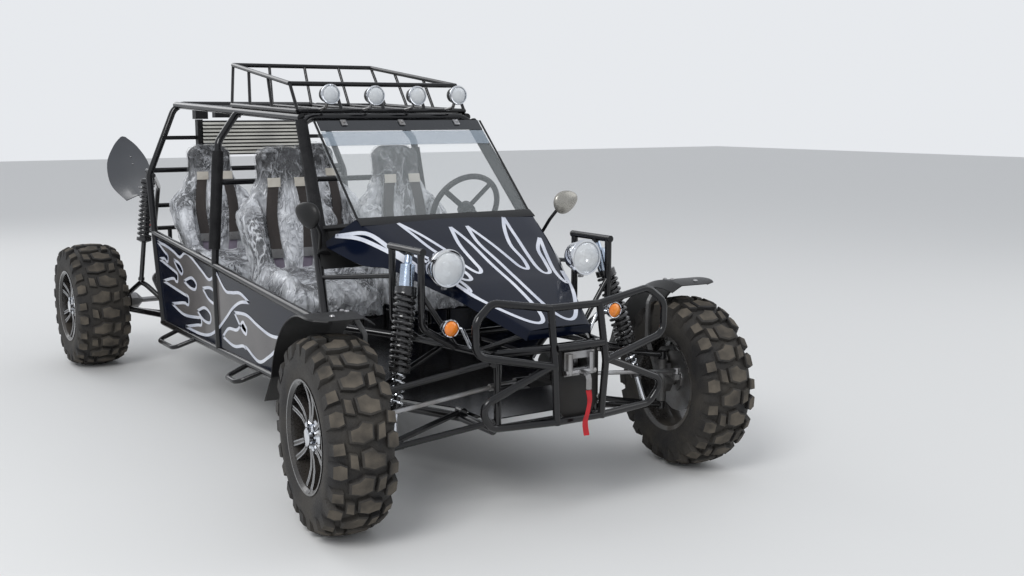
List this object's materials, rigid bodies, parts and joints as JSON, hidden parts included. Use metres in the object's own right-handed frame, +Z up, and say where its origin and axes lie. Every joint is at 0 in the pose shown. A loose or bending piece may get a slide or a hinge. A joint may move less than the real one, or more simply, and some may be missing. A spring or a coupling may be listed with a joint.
{
  "type": "dune buggy",
  "caption": "Open tube-frame dune buggy with two seat rows, roof rack, front bumper with winch, cycle fenders and off-road tyres.",
  "frame": {"origin": "on the ground, midway between the axles and between the wheels, at the centre of the bounding box's base", "axes": "+X to the vehicle's left, -Y to its front, +Z up"},
  "size_m": [1.8, 3.961, 1.602],
  "materials": {
    "painted_black": "satin",
    "body_sheet": "gloss",
    "tyre": "matte",
    "rim": "gloss",
    "steel": "satin",
    "chrome": "polished",
    "spring": "gloss",
    "glass": "clear",
    "seat": "satin",
    "plastic": "matte",
    "amber": "gloss",
    "red_lens": "gloss",
    "strap": "matte",
    "aluminium": "satin",
    "iron": "matte"
  },
  "bodies": {
    "chassis": {"frame_floor": "painted_black", "cage_mid": "painted_black", "cage_rear": "painted_black", "cage_front": "painted_black", "roof_rails": "painted_black", "frame_front": "painted_black", "shock_towers": "painted_black", "frame_rear": "painted_black", "rear_bumper": "painted_black", "side_steps": "painted_black", "roof_rack": "painted_black", "rack_lamps": "plastic", "side_panels": "body_sheet", "floor_pan": "aluminium", "hood": "body_sheet", "dash": "body_sheet", "windscreen": "glass", "front_bumper": "painted_black", "winch": "painted_black", "winch_hook": "steel", "hook_strap": "strap", "headlights": "chrome", "turn_signals": "amber", "mirrors": "plastic", "radiator": "aluminium", "roof_fittings": "plastic", "engine": "iron", "exhaust": "steel", "tail_lamps": "red_lens", "rear_fenders": "body_sheet", "front_arms": "painted_black", "rear_arms": "painted_black", "shocks": "spring", "seat_front_left": "seat", "seat_front_right": "seat", "seat_rear_left": "seat", "seat_rear_right": "seat"},
    "steering_wheel": {"steering_wheel": "plastic"},
    "tie_rods": {"tie_rods": "steel"},
    "knuckle_left": {"knuckle_left": "painted_black", "fender_left": "body_sheet"},
    "knuckle_right": {"knuckle_right": "painted_black", "fender_right": "body_sheet"},
    "wheel_front_left": {"tyre_front_left": "tyre", "rim_front_left": "rim", "disc_left": "steel"},
    "wheel_front_right": {"tyre_front_right": "tyre", "rim_front_right": "rim", "disc_right": "steel"},
    "wheel_rear_left": {"tyre_rear_left": "tyre", "rim_rear_left": "rim", "shaft_left": "steel"},
    "wheel_rear_right": {"tyre_rear_right": "tyre", "rim_rear_right": "rim", "shaft_right": "steel"}
  },
  "joints": [
    {"name": "steering", "type": "hinge", "parent": "chassis", "child": "steering_wheel", "pos_m": [0.275, -0.701, 0.966], "axis": [0, 0.9063, 0.4226], "range_deg": [-216.96, 323.04]},
    {"name": "steer_left", "type": "hinge", "parent": "chassis", "child": "knuckle_left", "pos_m": [0.64, -1.585, 0.33], "axis": [0, 0, 1], "range_deg": [-22.51, 33.51]},
    {"name": "steer_right", "type": "hinge", "parent": "chassis", "child": "knuckle_right", "pos_m": [-0.64, -1.585, 0.33], "axis": [0, 0, 1], "range_deg": [-22.51, 33.51]},
    {"name": "rack", "type": "slide", "parent": "chassis", "child": "tie_rods", "axis": [1, 0, 0], "range_m": [-0.03928, 0.05848]},
    {"name": "spin_front_left", "type": "hinge", "parent": "knuckle_left", "child": "wheel_front_left", "pos_m": [0.7475, -1.59535, 0.33], "axis": [0.9954, -0.0958, 0], "continuous": true},
    {"name": "spin_front_right", "type": "hinge", "parent": "knuckle_right", "child": "wheel_front_right", "pos_m": [-0.7475, -1.57465, 0.33], "axis": [0.9954, -0.0958, 0], "continuous": true},
    {"name": "spin_rear_left", "type": "hinge", "parent": "chassis", "child": "wheel_rear_left", "pos_m": [0.763, 1.585, 0.33], "axis": [1, 0, 0], "continuous": true},
    {"name": "spin_rear_right", "type": "hinge", "parent": "chassis", "child": "wheel_rear_right", "pos_m": [-0.763, 1.585, 0.33], "axis": [1, 0, 0], "continuous": true}
  ],
  "couplings": [
    {"joint": "steer_left", "follows": "steering", "ratio": 0.1037},
    {"joint": "steer_right", "follows": "steering", "ratio": 0.1037},
    {"joint": "rack", "follows": "steering", "m_per_rad": 0.01037}
  ]
}
